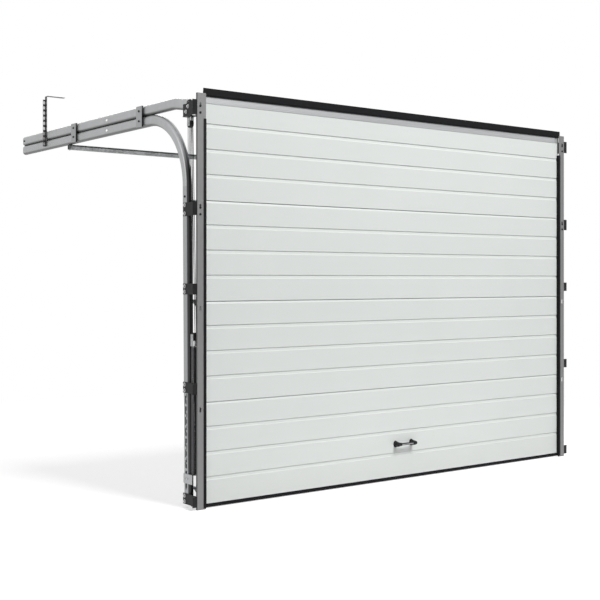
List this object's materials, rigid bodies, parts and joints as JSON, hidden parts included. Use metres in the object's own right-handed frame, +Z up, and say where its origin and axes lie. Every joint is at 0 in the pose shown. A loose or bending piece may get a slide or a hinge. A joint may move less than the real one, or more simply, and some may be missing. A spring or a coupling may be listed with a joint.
{
  "type": "sectional garage door",
  "caption": "Ribbed white sectional garage door, closed, in its steel frame with curved and horizontal tracks, tension springs, ceiling hangers and a low pull handle.",
  "frame": {"origin": "front face of the left post, middle of its foot at floor level", "axes": "+X to the right seen from outside, +Y into the garage, +Z up"},
  "size_m": [2.804, 2.176, 2.273],
  "materials": {
    "white_skin": "fine wood-grain embossing, satin",
    "aluminium_profile": "mill finish, satin",
    "black_rubber": "matte",
    "black_plastic": "satin",
    "bright_steel": "satin",
    "black_steel": "powder coat, satin",
    "grey_nylon": "smooth",
    "post_steel": "galvanized and primed, satin",
    "spring_steel": "oiled",
    "wire_rope": "stranded",
    "galvanized_steel": "galvanized, satin"
  },
  "bodies": {
    "door": {"bottom_brackets": "galvanized_steel", "bottom_profile": "aluminium_profile", "bottom_seal": "black_rubber", "center_hinges": "galvanized_steel", "cross_bar": "galvanized_steel", "curved_track_left": "galvanized_steel", "curved_track_right": "galvanized_steel", "end_caps": "galvanized_steel", "handle_bar": "bright_steel", "handle_ends": "black_plastic", "hanger_left": "galvanized_steel", "hanger_right": "galvanized_steel", "lip_seals": "black_rubber", "lower_rail_left": "galvanized_steel", "lower_rail_right": "galvanized_steel", "post_left": "post_steel", "post_right": "post_steel", "pulley_yokes": "galvanized_steel", "rail_plates": "galvanized_steel", "rollers": "grey_nylon", "ropes_left": "wire_rope", "ropes_right": "wire_rope", "section_1": "white_skin", "section_2": "white_skin", "section_3": "white_skin", "section_4": "white_skin", "side_hinges": "galvanized_steel", "spring_anchors": "galvanized_steel", "spring_left": "spring_steel", "spring_right": "spring_steel", "top_bracket_left": "black_steel", "top_bracket_right": "black_steel", "top_profile": "aluminium_profile", "top_roller_carriers": "galvanized_steel", "top_seal": "black_rubber", "track_brackets_left": "black_steel", "track_brackets_right": "black_steel", "upper_rail_left": "galvanized_steel", "upper_rail_right": "galvanized_steel", "vertical_track_left": "galvanized_steel", "vertical_track_right": "galvanized_steel"},
    "upper_pulley_left_wheel": {"upper_pulley_left": "black_plastic"},
    "upper_pulley_right_wheel": {"upper_pulley_right": "black_plastic"},
    "lower_pulley_left_wheel": {"lower_pulley_left": "black_plastic"},
    "lower_pulley_right_wheel": {"lower_pulley_right": "black_plastic"}
  },
  "joints": [
    {"name": "upper_pulley_left_spin", "type": "hinge", "parent": "door", "child": "upper_pulley_left_wheel", "pos_m": [0.009, 0.122, 1.914], "axis": [1, 0, 0], "continuous": true},
    {"name": "upper_pulley_right_spin", "type": "hinge", "parent": "door", "child": "upper_pulley_right_wheel", "pos_m": [2.691, 0.122, 1.914], "axis": [1, 0, 0], "continuous": true},
    {"name": "lower_pulley_left_spin", "type": "hinge", "parent": "door", "child": "lower_pulley_left_wheel", "pos_m": [-0.008, 0.06, 0.849], "axis": [1, 0, 0], "continuous": true},
    {"name": "lower_pulley_right_spin", "type": "hinge", "parent": "door", "child": "lower_pulley_right_wheel", "pos_m": [2.708, 0.06, 0.849], "axis": [1, 0, 0], "continuous": true}
  ]
}
